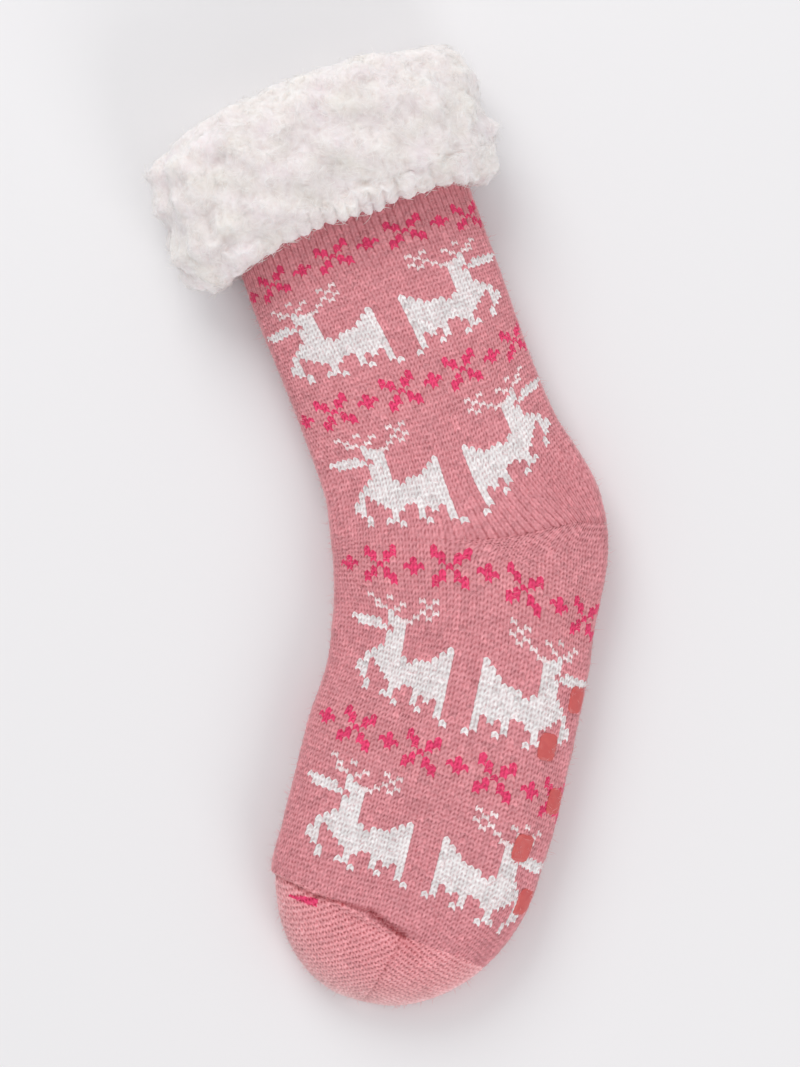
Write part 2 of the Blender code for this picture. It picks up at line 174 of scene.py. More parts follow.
def section_sizes(s):
    """Front, back, thickness, lift and sweep of the section at station s."""
    width = {"leg": LEG_WIDTH, "ankle": FOOT_WIDTH, "foot": FOOT_WIDTH}
    at = [RUN_START[run] + share * RUN_LENGTH[run] for run, share, *_ in SECTIONS]
    rows = [
        (front * width[run] / 2, back * width[run] / 2, thick * SOCK_THICKNESS, lift * CUFF_LIFT)
        for run, _, front, back, thick, lift in SECTIONS
    ]
    front, back, thick, lift = smooth_curve(at, rows, np.array([s]))[0]
    toe = min(max((s - TOE_RUN_START) / (SOCK_RUN - TOE_RUN_START), 0.0), 1.0)
    narrow = math.sqrt(1 - toe**2)
    thin = (1 - toe**TOE_THICKNESS_POWER) ** (1 / TOE_THICKNESS_POWER)
    sweep = TOE_SWEEP * toe**TOE_SWEEP_POWER
    return front * narrow, back * narrow, thick * thin, max(lift, 0.0), sweep


print("section at the heel, mm", [round(float(v) / MM, 1) for v in section_sizes(RUN_START["ankle"])])


# %% [markdown]
# A knitted sock has a fixed number of wales, the columns of stitches, all the way round. A flat knit
# could be bent round the sock with a lattice, but it would stretch unevenly at the ankle. So the
# surface is charted once, as a table over stations down the sock and wales round it. Every stitch,
# hair and crease afterwards asks that table where it lies.

# %% Wales round the sock
WALES = 80
PART_OF_WALE = 4
WALE_LINE = np.arange(WALES * PART_OF_WALE + 1) / PART_OF_WALE
OFF_HEEL = np.minimum(WALE_LINE, WALES - WALE_LINE)  # how many wales from the back edge
WALE_KNOTS = (3.5, 8.5, 13.5, 18.5, 23.5, 28.5, 33.5, 38.5)
WALES_ACROSS = (  # station in pixels, wale on the back edge, shares of the half width, front edge
    (181, 0.5, 0.909, 0.674, 0.381, 0.056, -0.247, -0.518, -0.790, -0.975, 39.8),
    (328, 0.5, 0.921, 0.700, 0.430, 0.170, -0.107, -0.400, -0.690, -0.945, 41.0),
    (385, 0.5, 0.915, 0.695, 0.425, 0.165, -0.095, -0.345, -0.610, -0.850, 41.5),
    (516, 0.5, 0.900, 0.687, 0.410, 0.146, -0.136, -0.403, -0.654, -0.885, 42.5),
    (595, 0.8, 0.918, 0.725, 0.443, 0.166, -0.115, -0.360, -0.598, -0.830, 42.8),
    (707, 1.3, 0.936, 0.763, 0.477, 0.187, -0.106, -0.363, -0.634, -0.883, 43.0),
)
print("columns round the sock", len(WALE_LINE) - 1)

# %% One ring of the surface
HALF_OUTLINE = 240  # points on each half of a section's outline
LEAST_SIZE, HARDLY = 1e-4, 1e-9


def section_ring(s):
    """The section's outline at s at every quarter wale: across, up, turn, outward normal."""
    front, back, thick, lift, sweep = section_sizes(s)
    angle = np.linspace(0, 2 * math.pi, 2 * HALF_OUTLINE + 1)
    c, n = np.cos(angle), np.sin(angle)
    power = np.where((c > HARDLY) & (n < -HARDLY), UNDER_SOLE_POWER, SECTION_POWER)
    across = np.sign(c) * np.abs(c) ** (2 / power)
    across *= np.where(c > 0, max(back, LEAST_SIZE), max(front, LEAST_SIZE))
    up = np.sign(n) * np.abs(n) ** (2 / power)
    up *= np.where(n > 0, 1.0, UNDERSIDE_FULLNESS) * max(thick, LEAST_SIZE) / 2
    flat = np.stack((across - sweep, np.maximum(lift + thick / 2 + up, lift)), -1)
    step = np.diff(flat, axis=0)
    length = np.hypot(*step.T)
    heading = np.unwrap(np.arctan2(step[:, 1], step[:, 0]))
    turned = np.abs(np.diff(np.append(heading, heading[0] + 2 * math.pi)))
    reach = np.append(0.0, np.cumsum(length + turned * TURN_LENGTH))
    turn = 2 * math.pi * reach / reach[-1]
    arc = np.append(0.0, np.cumsum(length))
    table = np.array(WALES_ACROSS, float)
    back_wale, *shares, front_wale = smooth_curve(table[:, 0], table[:, 1:], np.array([s / PX]))[0]
    knots = [v * (back if v > 0 else front) - sweep for v in shares]
    arcs = np.interp(-np.array(knots), -flat[:HALF_OUTLINE + 1, 0], arc[:HALF_OUTLINE + 1])
    under_arc, under_wale = (arc[HALF_OUTLINE] + arc[-1]) / 2, (front_wale + back_wale + WALES) / 2
    keys = [back_wale, *WALE_KNOTS, front_wale, under_wale, back_wale + WALES]
    wale = np.where(WALE_LINE < back_wale, WALE_LINE + WALES, WALE_LINE)
    goal = smooth_curve(keys, [0.0, *arcs, arc[HALF_OUTLINE], under_arc, arc[-1]], wale)
    ring = np.stack([np.interp(goal, arc, column) for column in (*flat.T, turn)], -1)
    along = np.gradient(ring[:, :2], axis=0)
    along[0] = along[-1] = ring[1, :2] - ring[-2, :2]
    return ring, unit(np.stack((along[:, 1], -along[:, 0]), -1)), lift


# %% The whole chart
S_STEP = 0.0005  # the chart has a row at every half millimetre
RING_STEP, CAP_RINGS = 0.001, 90


def chart_surface():
    """Points of the knit's outer face, on a grid of stations (S_STEP apart) and quarter wales."""
    straight = np.arange(0.0, TOE_RUN_START, RING_STEP)
    cap = TOE_RUN_START + (SOCK_RUN - TOE_RUN_START) * np.sin(np.linspace(0, math.pi / 2, CAP_RINGS))
    places, true_s = [], []
    for s in np.append(straight, cap):
        ring, outward, lift = section_ring(s)
        turn = ring[:, 2]
        edge = np.abs(np.cos(turn))
        droop = COLLAR_DROOP * edge**3 * smooth_step((COLLAR_DROOP_END - s) / (COLLAR_DROOP_END / 2))
        away = (SEAM_RUN - s) / SEAM_BLEND if s < SEAM_RUN else (s - SEAM_RUN) / (SOCK_RUN - SEAM_RUN)
        dipped = s + droop + SEAM_SLANT * (1 - edge) * smooth_step(1 - away)
        roll = smooth_step((SEAM_REACH - np.cos(turn)) / (2 * SEAM_REACH))
        roll = roll * SEAM_STEP * (smooth_step(1 - (SEAM_RUN - s) / SEAM_ROLL) if s <= SEAM_RUN else 0)
        centre, way = centre_line(dipped)
        across = ring[:, 0] + outward[:, 0] * roll
        up = np.maximum(ring[:, 1] + outward[:, 1] * roll, lift)
        to_back = np.stack((-way[:, 1], way[:, 0]), -1)
        places.append(np.concatenate((centre + to_back * across[:, None], up[:, None]), 1))
        true_s.append(dipped)
    places, true_s = np.array(places), np.array(true_s)
    true_s = np.maximum.accumulate(true_s + HARDLY * np.arange(len(true_s))[:, None], axis=0)
    grid_s = np.arange(0.0, SOCK_RUN + S_STEP, S_STEP)
    chart = np.empty((len(grid_s), places.shape[1], 3))
    for m in range(places.shape[1]):
        for axis in range(3):
            chart[:, m, axis] = np.interp(grid_s, true_s[:, m], places[:, m, axis])
    return chart


CHART = chart_surface()
cad_low, cad_high = np.array(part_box("knit_sock")[0]), np.array(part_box("knit_sock")[1])
low, high = CHART.reshape(-1, 3).min(0), CHART.reshape(-1, 3).max(0)
SHIFT = np.array((((cad_low + cad_high) / 2 - (low + high) / 2)[0], (cad_low - low)[1], 0.0))
CHART += SHIFT
print("knit box, CAD", cad_low, cad_high, "charted", low + SHIFT, high + SHIFT)


def facing_of(chart):
    """The outward direction at every point of the chart."""
    across = np.concatenate((chart[:, -2:-1], chart, chart[:, 1:2]), 1)
    across = across[:, 2:] - across[:, :-2]
    return unit(np.cross(across, np.gradient(chart, axis=0)), 1e-15)


# %% [markdown]
# The fabric isn't taut. The toe seam bites into it, the heel pocket has a shallow hollow, and a few
# slack waves cross the ankle. They could be sculpted, or left to a cloth simulation, which puts them
# where it likes. Here each is a soft dent along a short line, placed one by one on the sock.

# %% Creases
# The last column is painted shade along each crease, deepest under the roll of the toe seam.
CREASES = (  # start x, y and end x, y in mm, how wide, how deep (below 0: a bulge), how dark
    (-42.8, -150.1, -26.1, -158.3, 0.8, 0.8, 0.35),
    (-26.1, -158.3, -2.8, -164.8, 0.85, 1.1, 0.55),
    (-2.8, -164.8, 12.2, -175.9, 1.5, 2.0, 0.62),
    (11.0, -175.5, 16.0, -181.0, 4.5, 1.2, 0.2),
    (-4.0, -158.0, 16.0, -169.0, 5.0, -0.9, 0),
    (74.0, 22.0, 82.0, 16.0, 9.0, 1.2, 0.06),
    (30.0, -10.0, 52.0, -5.0, 3.0, 0.5, 0.03),
    (-16.0, -18.0, 6.0, -14.0, 5.0, 0.6, 0),
    (-20.0, -52.0, 2.0, -44.0, 6.0, 0.6, 0),
    (-18.0, 42.0, 8.0, 36.0, 7.0, 0.5, 0),
    (30.0, 60.0, 50.0, 52.0, 6.0, 0.5, 0),
    (-30.0, -95.0, -8.0, -88.0, 7.0, 0.5, 0),
)
NARROW = 3.0  # creases up to this wide, in mm, don't add up where they meet


def dent(points):
    """How far points sink into the creases, and how much painted shade they get there."""
    sunk, painted_crease_shade = np.zeros(points.shape[:2]), np.zeros(points.shape[:2])
    for x0, y0, x1, y1, wide, deep, shade in CREASES:
        start, way = np.array((x0, y0)) * MM, np.array((x1 - x0, y1 - y0)) * MM
        off = points[..., :2] - start
        share = np.clip((off * way).sum(-1) / (way * way).sum(), 0, 1)
        far = np.linalg.norm(off - share[..., None] * way, axis=-1)
        near = np.exp(-((far / (wide * MM)) ** 2))
        depth = deep * MM * near
        sunk = sunk + depth if deep < 0 or wide > NARROW else np.maximum(sunk, depth)
        painted_crease_shade = np.maximum(painted_crease_shade, shade * near)
    return sunk, painted_crease_shade


FACING = facing_of(CHART)
depths = dent(CHART)[0] * smooth_step(FACING[..., 2] * 2)  # only on the side that shows
CHART = CHART - FACING * depths[..., None]
FACING = facing_of(CHART)
steps = np.linalg.norm(np.diff(CHART, axis=0), axis=2)
LENGTH_DOWN = np.concatenate((np.zeros((1, CHART.shape[1])), np.cumsum(steps, axis=0)))
GRID_S = np.arange(len(CHART)) * S_STEP
print(len(CREASES), "creases and bulges, the deepest", round(float(depths.max()) / MM, 2), "mm")


# %% Reading the chart
def on_chart(table, s, wale):
    """The charted value at stations s and wales, between the grid's points."""
    row = np.clip(s / S_STEP, 0, len(table) - 1.001)
    column = np.minimum(np.mod(wale, WALES) * PART_OF_WALE, WALES * PART_OF_WALE - 1e-6)
    i, j = row.astype(int), column.astype(int)
    a, b = (row - i)[..., None], (column - j)[..., None]
    upper = table[i, j] * (1 - b) + table[i, j + 1] * b
    lower = table[i + 1, j] * (1 - b) + table[i + 1, j + 1] * b
    return upper * (1 - a) + lower * a


# %% [markdown]
# The pattern is knitted in, so its edges follow the stitches. A picture laid over the sock would cut
# through them. So it is written down as a knitter reads it, one letter a stitch. Bands of crosses
# and dots take turns with rows of deer, and every second deer is mirrored. The antlers are half
# stitches, where the white yarn only just shows.

# %% The knitting chart
PLAIN, WHITE, LACE, CRIMSON = range(4)
DEER = (
    "...o..o....o.o....",
    "....o...o...o.....",
    "....oo.o...o.o....",
    "......#...o.o.....",
    "......##oo........",
    "#####.###.........",
    ".#####.##.........",
    "......###.........",
    "......###.......#.",
    "......###......##.",
    ".....####.....###.",
    "....######.######.",
    "...##############.",
    "...#.############.",
    "..##..###########.",
    "..##...##########.",
    "...#....##..#####.",
    "....#...#...#.#.#.",
    "....#..##...#...#.",
    ".........#...#..#.",
    ".................#",
)
BAND = (
    "#...#.....",
    "##.##.....",
    ".#.#...#..",
    "..#...###.",
    ".#.#...#..",
    "##.##.....",
    "#...#.....",
)
DEER_YARNS = {".": PLAIN, "#": WHITE, "o": LACE}
REPEATS, REPEAT, BAND_START, DEER_TOP = 4, 32, -1, 9
PAIR_WALES = 40  # room for two deer, the second one mirrored
UNDER_SHIFT = 2  # the hidden side's pattern starts two wales past the front edge


def yarn_at(course, wale):
    """The yarn of one stitch of the pattern."""
    if WALES // 2 < wale <= WALES // 2 + UNDER_SHIFT:
        return PLAIN
    if not BAND_START <= course < BAND_START + REPEATS * REPEAT:
        return PLAIN
    wale = wale - UNDER_SHIFT if wale > WALES // 2 else wale
    row = (course - BAND_START) % REPEAT
    if row < len(BAND):
        return CRIMSON if BAND[row][(wale - 1) % len(BAND[0])] == "#" else PLAIN
    k = wale % PAIR_WALES
    k = k - 1 if k < PAIR_WALES // 2 else PAIR_WALES - 2 - k
    if DEER_TOP <= row < DEER_TOP + len(DEER) and 0 <= k < len(DEER[0]):
        return DEER_YARNS[DEER[row - DEER_TOP][k]]
    return PLAIN


one_repeat = [yarn_at(course, wale) for course in range(REPEAT) for wale in range(WALES)]
print("plain, white, lace and crimson stitches in a repeat", [one_repeat.count(y) for y in range(4)])

# %% [markdown]
# A knitter's courses aren't level on a sock that lies bent at the ankle. Level rings would be simpler,
# but the bands would then miss their places. So a short table says where the main courses cross five
# lines down the side: the front edge, a quarter, the middle, a quarter and the back edge. The
# courses between are spread evenly along the fabric. The heel pocket has extra, shorter courses on
# its back half only; they end on the gore line, and where a course doesn't reach, its row of the
# mesh has no height and is merged away.

# %% Tables of the courses
FIRST_COURSE, HEEL_COURSE, LAST_COURSE = -14, 62, 134
LEG_HALVES = 2 * (HEEL_COURSE - FIRST_COURSE)  # half courses above the heel pocket
HEEL_ROW = -99  # stands for a course of the heel pocket, which is plain
HEEL_ROWS, GORE_APEX, HEEL_FLAT = 13, 24.5, 7.0
COURSE_HEIGHT, TALLEST_ROW, LOWEST_UPPER_ROW, LOWEST_LOWER_ROW = 0.00225, 0.0029, 0.0008, 0.0006
LEG_COURSES = (  # course, then its station on the five lines, in pixels of the photograph
    (-14.0, 105, 105, 105, 105, 105),
    (-1.0, 175.5, 167.5, 164.5, 167.5, 174.5),
    (6.0, 202.5, 194.5, 191.5, 194.5, 201.5),
    (34.5, 322, 325, 328, 327, 317),
    (61.0, 456, 466, 471, 448, 430),
)
FOOT_COURSES = (
    (66.5, 494, 510, 519, 545, 558),
    (98.5, 692, 702, 710, 718, 725),
    (125.0, 842, 843, 844, 868, 882),
)
GORE_LINE = (462, 474, 491, 489, 492)
TOE_LINE = (859, 871, 889, 897, 903)
ROUND_KEYS = (-20, -10, 0.5, 10, 20, 30, 42, 51, 60, 70, 80.5, 90, 100)
HEEL_ROWS_HERE = HEEL_ROWS * np.clip((GORE_APEX - OFF_HEEL) / (GORE_APEX - HEEL_FLAT), 0, 1)


def round_sock(values, wale):
    """A value round the sock from its values on the five lines."""
    front, instep, middle, sole, back = values
    ring = (middle, sole, back, sole, middle, instep, front, instep, middle, sole, back, sole, middle)
    return smooth_curve(ROUND_KEYS, ring, wale)


def length_at(values):
    """Length down the fabric, at every quarter wale, of a line given by its five stations."""
    stations = round_sock(values, WALE_LINE) * PX
    return np.array([np.interp(v, GRID_S, LENGTH_DOWN[:, m]) for m, v in enumerate(stations)])


GORE_LENGTH, TOE_LENGTH = length_at(GORE_LINE), length_at(TOE_LINE)
print(f"gore line {GORE_LENGTH.min():.3f} to {GORE_LENGTH.max():.3f} m down, toe {TOE_LENGTH.min():.3f}")


# %% Lay the courses
def lay_courses():
    """Length down the fabric of each half course at every quarter wale, and 1 where it is whole."""
    leg_keys, foot_keys = [row[0] for row in LEG_COURSES], [row[0] for row in FOOT_COURSES]
    on_leg, on_foot = ([length_at(row[1:]) for row in table] for table in (LEG_COURSES, FOOT_COURSES))
    to_heel = GORE_LENGTH - on_leg[-1] - (HEEL_COURSE - leg_keys[-1]) * COURSE_HEIGHT
    from_heel = on_foot[0] - GORE_LENGTH - (foot_keys[0] - HEEL_COURSE) * COURSE_HEIGHT
    spare = np.maximum(HEEL_ROWS_HERE, 0.01)
    upper_height = np.clip(to_heel / spare, LOWEST_UPPER_ROW, TALLEST_ROW)
    lower_height = np.clip(from_heel / spare, LOWEST_LOWER_ROW, TALLEST_ROW)
    above = GORE_LENGTH - HEEL_ROWS_HERE * upper_height
    below = GORE_LENGTH + HEEL_ROWS_HERE * lower_height
    course = np.arange(2 * FIRST_COURSE, 2 * HEEL_COURSE + 1) / 2
    leg = smooth_curve([*leg_keys, HEEL_COURSE], [*on_leg, above], course)
    heel = np.arange(1, 2 * HEEL_ROWS + 1)[:, None] / 2
    upper = above + np.minimum(heel, HEEL_ROWS_HERE) * upper_height
    lower = below - np.minimum(heel[::-1] - 0.5, HEEL_ROWS_HERE) * lower_height
    course = np.arange(2 * HEEL_COURSE + 1, 2 * LAST_COURSE + 1)[:, None] / 2
    foot = smooth_curve([HEEL_COURSE, *foot_keys], [below, *on_foot], course[:, 0])
    last = foot_keys[-1]
    toe_course = np.minimum(last + (TOE_LENGTH - on_foot[-1]) / COURSE_HEIGHT, LAST_COURSE)
    rate = (TOE_LENGTH - on_foot[-1]) / (toe_course - last)
    foot = np.where(course > last, on_foot[-1] + rate * (np.minimum(course, toe_course) - last), foot)
    whole = (
        np.ones_like(leg),
        np.clip(HEEL_ROWS_HERE - heel + 0.5, 0, 1),
        np.clip(HEEL_ROWS_HERE - heel[::-1] + 1.0, 0, 1),
        np.clip(toe_course - course + 0.5, 0, 1),
    )
    length = np.maximum.accumulate(np.concatenate((leg, upper, lower, foot)), axis=0)
    return length, np.concatenate(whole)


COURSE_LENGTH, COURSE_REACH = lay_courses()
LEG_ROWS = LEG_HALVES + 1 + 2 * HEEL_ROWS
print("half courses", COURSE_LENGTH.shape, "leg rows", LEG_ROWS)

# %% [markdown]
# Materials come next. They could be wired up by hand in the shader editor, but shader maths grows
# long there. So a small class wraps a socket and lets plain Python operators add the Math nodes, and
# a few helpers make what every material of this sock starts from.


# %% Shader helper
class Wire:
    """A node socket that can be added, multiplied and so on, like a number."""

    def __init__(self, tree, socket):
        self.tree, self.socket = tree, socket

    def node(self, kind, inputs=(), output=0, **settings):
        made = self.tree.nodes.new(kind)
        for name, value in settings.items():
            setattr(made, name, value)
        for name, value in dict(inputs).items():
            if isinstance(value, Wire):
                self.tree.links.new(value.socket, made.inputs[name])
            else:
                made.inputs[name].default_value = value
        return Wire(self.tree, made.outputs[output])

    def maths(self, operation, *values):
        return self.node("ShaderNodeMath", dict(enumerate(values)), operation=operation)

    def __add__(self, other):
        return self.maths("ADD", self, other)

    def __mul__(self, other):
        return self.maths("MULTIPLY", self, other)

    def __sub__(self, other):
        return self.maths("SUBTRACT", self, other)

    def __rsub__(self, other):
        return self.maths("SUBTRACT", other, self)

    __radd__, __rmul__ = __add__, __mul__

    def clamp(self):
        return self.node("ShaderNodeClamp", {0: self})

    def tint(self, first, second):
        """A colour between two colours, by this value."""
        return self.node(
            "ShaderNodeMix", {"Factor": self, "A": first, "B": second}, 2, data_type="RGBA"
        )


# %% Material helpers
def new_material(name, roughness):
    """A material with its shader and a wire of its Object coordinates."""
    made = bpy.data.materials.new(name)
    made.use_nodes = True
    shader = made.node_tree.nodes["Principled BSDF"]
    shader.inputs["Roughness"].default_value = roughness
    place = Wire(made.node_tree, None).node("ShaderNodeTexCoord", output="Object")
    print("material", name)
    return made, shader, place


def speckle(place, scale, detail, distortion=0.0):
    """Fine noise over the piece, between 0 and 1 and mostly near 0.5."""
    inputs = {"Vector": place, "Scale": scale, "Detail": detail, "Distortion": distortion}
    return place.node("ShaderNodeTexNoise", inputs)


def plug(shader, name, wire):
    wire.tree.links.new(wire.socket, shader.inputs[name])


def srgb(red, green, blue):
    """A colour picked on screen, 0 to 255, as the linear values that a shader takes."""
    values = [v / 255 for v in (red, green, blue)]
    linear = [v / 12.92 if v <= 0.04045 else ((v + 0.055) / 1.055) ** 2.4 for v in values]
    return (*linear, 1.0)


# %% [markdown]
# The yarn is brushed and heathered, so it is matt, uneven in tone and soft at its edges. A plain
# colour would look like plastic. Here an attribute that each stitch carries holds the dye with
# painted shade in the holes, creases and gore line and under the cuff, and on the toe a painted pale
# rim; a fine noise makes it lighter and darker, a finer one gives the bump of its fibres, and sheen
# adds the pale edge of brushed yarn.

# %% Yarn
def yarn_material():
    made, shader, place = new_material("heathered_yarn", 0.92)
    # the attribute holds the dye with painted shade, and on the toe a painted pale rim
    dye_and_painted_light = place.node("ShaderNodeAttribute", output="Color", attribute_name="dye_and_painted_light")
    light = speckle(place, 900.0, 3.0) * 0.5 + 0.75
    shade = place.node("ShaderNodeCombineXYZ", {0: light, 1: light, 2: light})
    colour = place.node(
        "ShaderNodeMix", {"Factor": 1.0, "A": dye_and_painted_light, "B": shade}, 2, data_type="RGBA",
        blend_type="MULTIPLY",
    )
    plug(shader, "Base Color", colour)
    fibres = speckle(place, 2600.0, 2.0)
    bump = place.node("ShaderNodeBump", {"Height": fibres, "Strength": 0.5, "Distance": 0.0002})
    plug(shader, "Normal", bump)
    shader.inputs["Sheen Weight"].default_value = 0.8
    shader.inputs["Sheen Roughness"].default_value = 0.35
    shader.inputs["Sheen Tint"].default_value = srgb(255, 226, 226)
    shader.inputs["Specular IOR Level"].default_value = 0.2
    return made


YARN = yarn_material()

# %% [markdown]
# One knitted stitch shows two legs that lean together, with a small dark hole between them and
# another between it and its neighbour. Each loop of yarn could be a curved tube, but over ten
# thousand of them would take millions of faces. So on the mesh a stitch is four faces wide and two
# long: its course lines zigzag and the holes are low points. Under the cuff and on the heel pocket
# the fabric is drawn in, so the holes run together into ribs. A plain grid is laid on the chart in
# this way, and its spare rows merge.

# %% Sizes, dyes and painted shade of the stitches
WALE_WIDTH = 0.003
STITCH_HIGH, MEAN_RELIEF, LEAST_RELIEF, MOST_RELIEF = 0.00075, 0.6, -0.15, 1.2
ZIGZAG = 0.00060
LEAN = np.array((1.0, 0.0, -1.0, 0.0))
DOTTED = np.array(((0.0, 0.72, 0.72, 1.0), (0.72, 1.0, 0.0, 0.72)))
RIBBED = np.array(((0.0, 0.75, 0.45, 0.75), (0.0, 1.0, 0.45, 1.0)))
# The next lines set the painted shade in the holes and the painted highlight on the stitch tops.
DARKEST, LIGHTEST = 0.52, 1.06
HOLE_SHADE_TINT = np.array((0.72, 1.08, 1.06))  # the holes are a deeper rose, not grey
WHITE_DEPTH = 0.72  # how strongly the holes show in the white yarn
UNEVEN, STRAY, UNEVEN_STEP, DRAWS = 0.14, 0.00010, 0.0007, 997
DYE_UNEVEN = 0.06
DYES = {
    PLAIN: srgb(229, 154, 161),
    WHITE: srgb(244, 241, 241),
    LACE: srgb(248, 232, 232),
    CRIMSON: srgb(240, 76, 122),
}
print(f"a stitch is about {WALE_WIDTH / MM:.1f} by {COURSE_HEIGHT / MM:.2f} mm")

# %% Drift, gore line and ribs
WALE_DRIFT, DRIFT_ABOVE, DRIFT_BELOW = 3.4, 0.028, 0.014
# GORE_DARK is painted shade along the gore line's dip.
GORE_WIDTH, GORE_DEEP, GORE_DARK = 0.0010, 0.0004, 0.10
GORE_FADE, GORE_AT_BACK, BACK_FLAT, BACK_FADE = 4, 0.45, 3, 6
# CUFF_SHADE is the cuff's shadow on the knit below it, painted into the colour.
RIBS_BY_CUFF, CUFF_REACH, CUFF_FADE, CUFF_SHADE = 0.75, 14, 16, 0.10
RIBS_BY_GORE, GORE_RIBS_LENGTH, GORE_RIBS_FADE = 0.85, 0.034, 5


def wale_drift(length):
    """How far the wales lean towards the heel near the gore line, in wales."""
    side = np.where(WALE_LINE <= WALES / 2, 1.0, -1.0)
    swing = np.sin(math.pi * np.clip((GORE_APEX - OFF_HEEL) / GORE_APEX, 0, 1))
    above = np.clip(1 - (GORE_LENGTH - length) / DRIFT_ABOVE, 0, 1) ** 2
    below = np.clip(1 - (length - GORE_LENGTH) / DRIFT_BELOW, 0, 1) ** 2
    return -side * WALE_DRIFT * swing * np.where(length < GORE_LENGTH, above, below)


def on_gore(length):
    """1 on the gore line of the heel, fading beside it, at its apex and at the back edge."""
    by_apex = smooth_step((GORE_APEX - OFF_HEEL) / GORE_FADE)
    by_back = GORE_AT_BACK + (1 - GORE_AT_BACK) * smooth_step((OFF_HEEL - BACK_FLAT) / BACK_FADE)
    return by_apex * by_back * np.exp(-(((length - GORE_LENGTH) / GORE_WIDTH) ** 2))


def by_the_cuff():
    """1 under the cuff, fading to 0 at the course CUFF_REACH."""
    course = FIRST_COURSE + np.arange(len(COURSE_LENGTH))[:, None] / 2
    return smooth_step((CUFF_REACH - course) / CUFF_FADE)


def ribbing():
    """How much the fabric is drawn into ribs at each point: by the cuff and above the gore."""
    above = smooth_step(1 - (GORE_LENGTH - COURSE_LENGTH) / GORE_RIBS_LENGTH)
    above = np.where(COURSE_LENGTH <= GORE_LENGTH, above, 0)
    by_heel = smooth_step((GORE_APEX - OFF_HEEL) / GORE_RIBS_FADE)
    return np.maximum(RIBS_BY_CUFF * by_the_cuff(), RIBS_BY_GORE * above * by_heel)


# %% Points of the stitches and their painted light
GORE_CALM, TOE_CALM = 0.0025, 0.0020  # this near to the gore and to the toe the zigzag fades


def stitch_points():
    """The points of the whole knit, a row for each half course, and each point's painted light."""
    rows, columns = COURSE_LENGTH.shape
    at = np.arange(columns) % PART_OF_WALE
    near_gore = np.abs(COURSE_LENGTH - GORE_LENGTH)
    fade = 1 - (HEEL_ROWS_HERE > 0) * (1 - smooth_step(near_gore / GORE_CALM))
    fade = fade * smooth_step(np.abs(TOE_LENGTH - COURSE_LENGTH) / TOE_CALM)
    length = COURSE_LENGTH + ZIGZAG * LEAN[at] * fade
    station = np.empty_like(length)
    for m in range(columns):
        station[:, m] = np.interp(length[:, m], LENGTH_DOWN[:, m], GRID_S)
    wale = WALE_LINE + wale_drift(length)
    half = np.arange(rows) % 2
    ribs = ribbing()
    whole, halfway = ((1 - ribs) * DOTTED[k][at] + ribs * RIBBED[k][at] for k in (0, 1))
    relief = whole + (halfway - whole) * half[:, None] * COURSE_REACH
    chance = np.random.default_rng(5).standard_normal((3, DRAWS, columns))
    chance[..., -1] = chance[..., 0]
    index = np.mod((COURSE_LENGTH / UNEVEN_STEP).round().astype(int), DRAWS)
    uneven, aside, along = (np.take_along_axis(draws, index, 0) for draws in chance)
    relief = np.clip(relief + UNEVEN * uneven, LEAST_RELIEF, MOST_RELIEF)
    wale = wale + aside * STRAY / WALE_WIDTH
    gore = on_gore(length)
    high = STITCH_HIGH * (relief - MEAN_RELIEF) - GORE_DEEP * gore
    # painted shade in the holes and painted highlight on the tops, by the relief
    light = DARKEST + (LIGHTEST - DARKEST) * relief
    station = station + along * STRAY * fade
    places = on_chart(CHART, station, wale) + on_chart(FACING, station, wale) * high[..., None]
    places[..., 2] = np.maximum(places[..., 2], 0.0)
    painted_crease_shade = dent(places)[1] * (on_chart(FACING, station, wale)[..., 2] > 0)
    # painted shade also darkens the gore line, the creases, and the knit under the cuff as its shadow
    return places, light * (1 - GORE_DARK * gore) * (1 - painted_crease_shade) * (1 - CUFF_SHADE * by_the_cuff())


STITCHES, PAINTED_LIGHT = stitch_points()
print("points of the knit", STITCHES.shape)


# %% Dyes of the stitches
def stitch_dyes():
    """The colour of each face of the knit, stitch by stitch; its fourth value says how strongly painted
    shade shows.
    """
    rows, columns = COURSE_LENGTH.shape
    random = np.random.default_rng(7)
    foot_halves = rows - 1 - LEG_HALVES - 4 * HEEL_ROWS
    course = np.full(rows - 1, HEEL_ROW)
    course[:LEG_HALVES] = FIRST_COURSE + np.arange(LEG_HALVES) // 2
    course[-foot_halves:] = HEEL_COURSE + np.arange(foot_halves) // 2
    dyes_and_painted_light = np.empty((rows - 1, columns - 1, 4))
    by_stitch = {}
    for r in range(rows - 1):
        for w in range(WALES):
            yarn = yarn_at(int(course[r]), w)
            key = (int(course[r]), w, r // 2 if course[r] == HEEL_ROW else 0)
            if key not in by_stitch:
                colour = np.array(DYES[yarn])
                colour[:3] *= 1 + DYE_UNEVEN * random.standard_normal()
                if yarn in (WHITE, LACE):
                    colour[3] = WHITE_DEPTH
                by_stitch[key] = colour
            first = w * PART_OF_WALE
            dyes_and_painted_light[r, first:first + PART_OF_WALE] = by_stitch[key]
            if r % 2 == 0 and yarn == LACE:
                dyes_and_painted_light[r, first + 1:first + 3] = DYES[PLAIN]
    print(len(by_stitch), "stitches dyed")
    return dyes_and_painted_light


STITCH_DYES = stitch_dyes()

# %% Lay a grid on the chart and close it
MERGE_WITHIN = 0.00002


def lay_grid(name, places):
    """A flat grid whose points are moved to their places: rows down the sock, columns round it."""
    rows, columns = places.shape[:2]
    bpy.ops.mesh.primitive_grid_add(x_subdivisions=columns - 1, y_subdivisions=rows - 1, size=1)
    piece = bpy.context.object
    piece.name = piece.data.name = name
    piece.data.vertices.foreach_set("co", np.ascontiguousarray(places).reshape(-1))
    return piece


